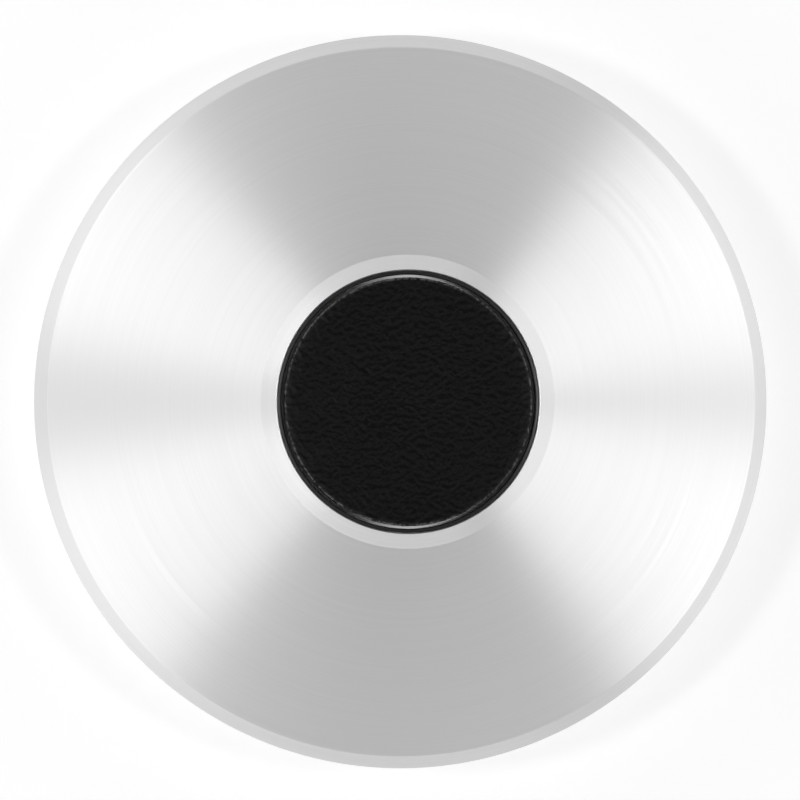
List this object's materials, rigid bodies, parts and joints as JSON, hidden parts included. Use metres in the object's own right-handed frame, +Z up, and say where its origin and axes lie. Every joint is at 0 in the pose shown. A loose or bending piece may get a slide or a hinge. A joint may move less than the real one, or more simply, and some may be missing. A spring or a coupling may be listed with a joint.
{
  "type": "record weight clamp",
  "caption": "Round turned aluminium record weight with a conical top, a leather inlay in its collar and a blind spindle bore, which presses a record onto its platter.",
  "frame": {"origin": "on the turning axis, at the underside of the label pad, where the weight rests on a record's label", "axes": "+Z up along the turning axis; the part is round, so X and Y may point anywhere"},
  "size_m": [0.08, 0.08, 0.0273],
  "materials": {
    "turned_aluminium": "fine turned",
    "black_rubber": "satin",
    "black_leather": "fine grain",
    "pad_leather": "suede"
  },
  "bodies": {
    "root": {"weight_body": "turned_aluminium", "trim_ring": "black_rubber", "leather_inlay": "black_leather", "label_pad": "pad_leather"}
  },
  "joints": []
}
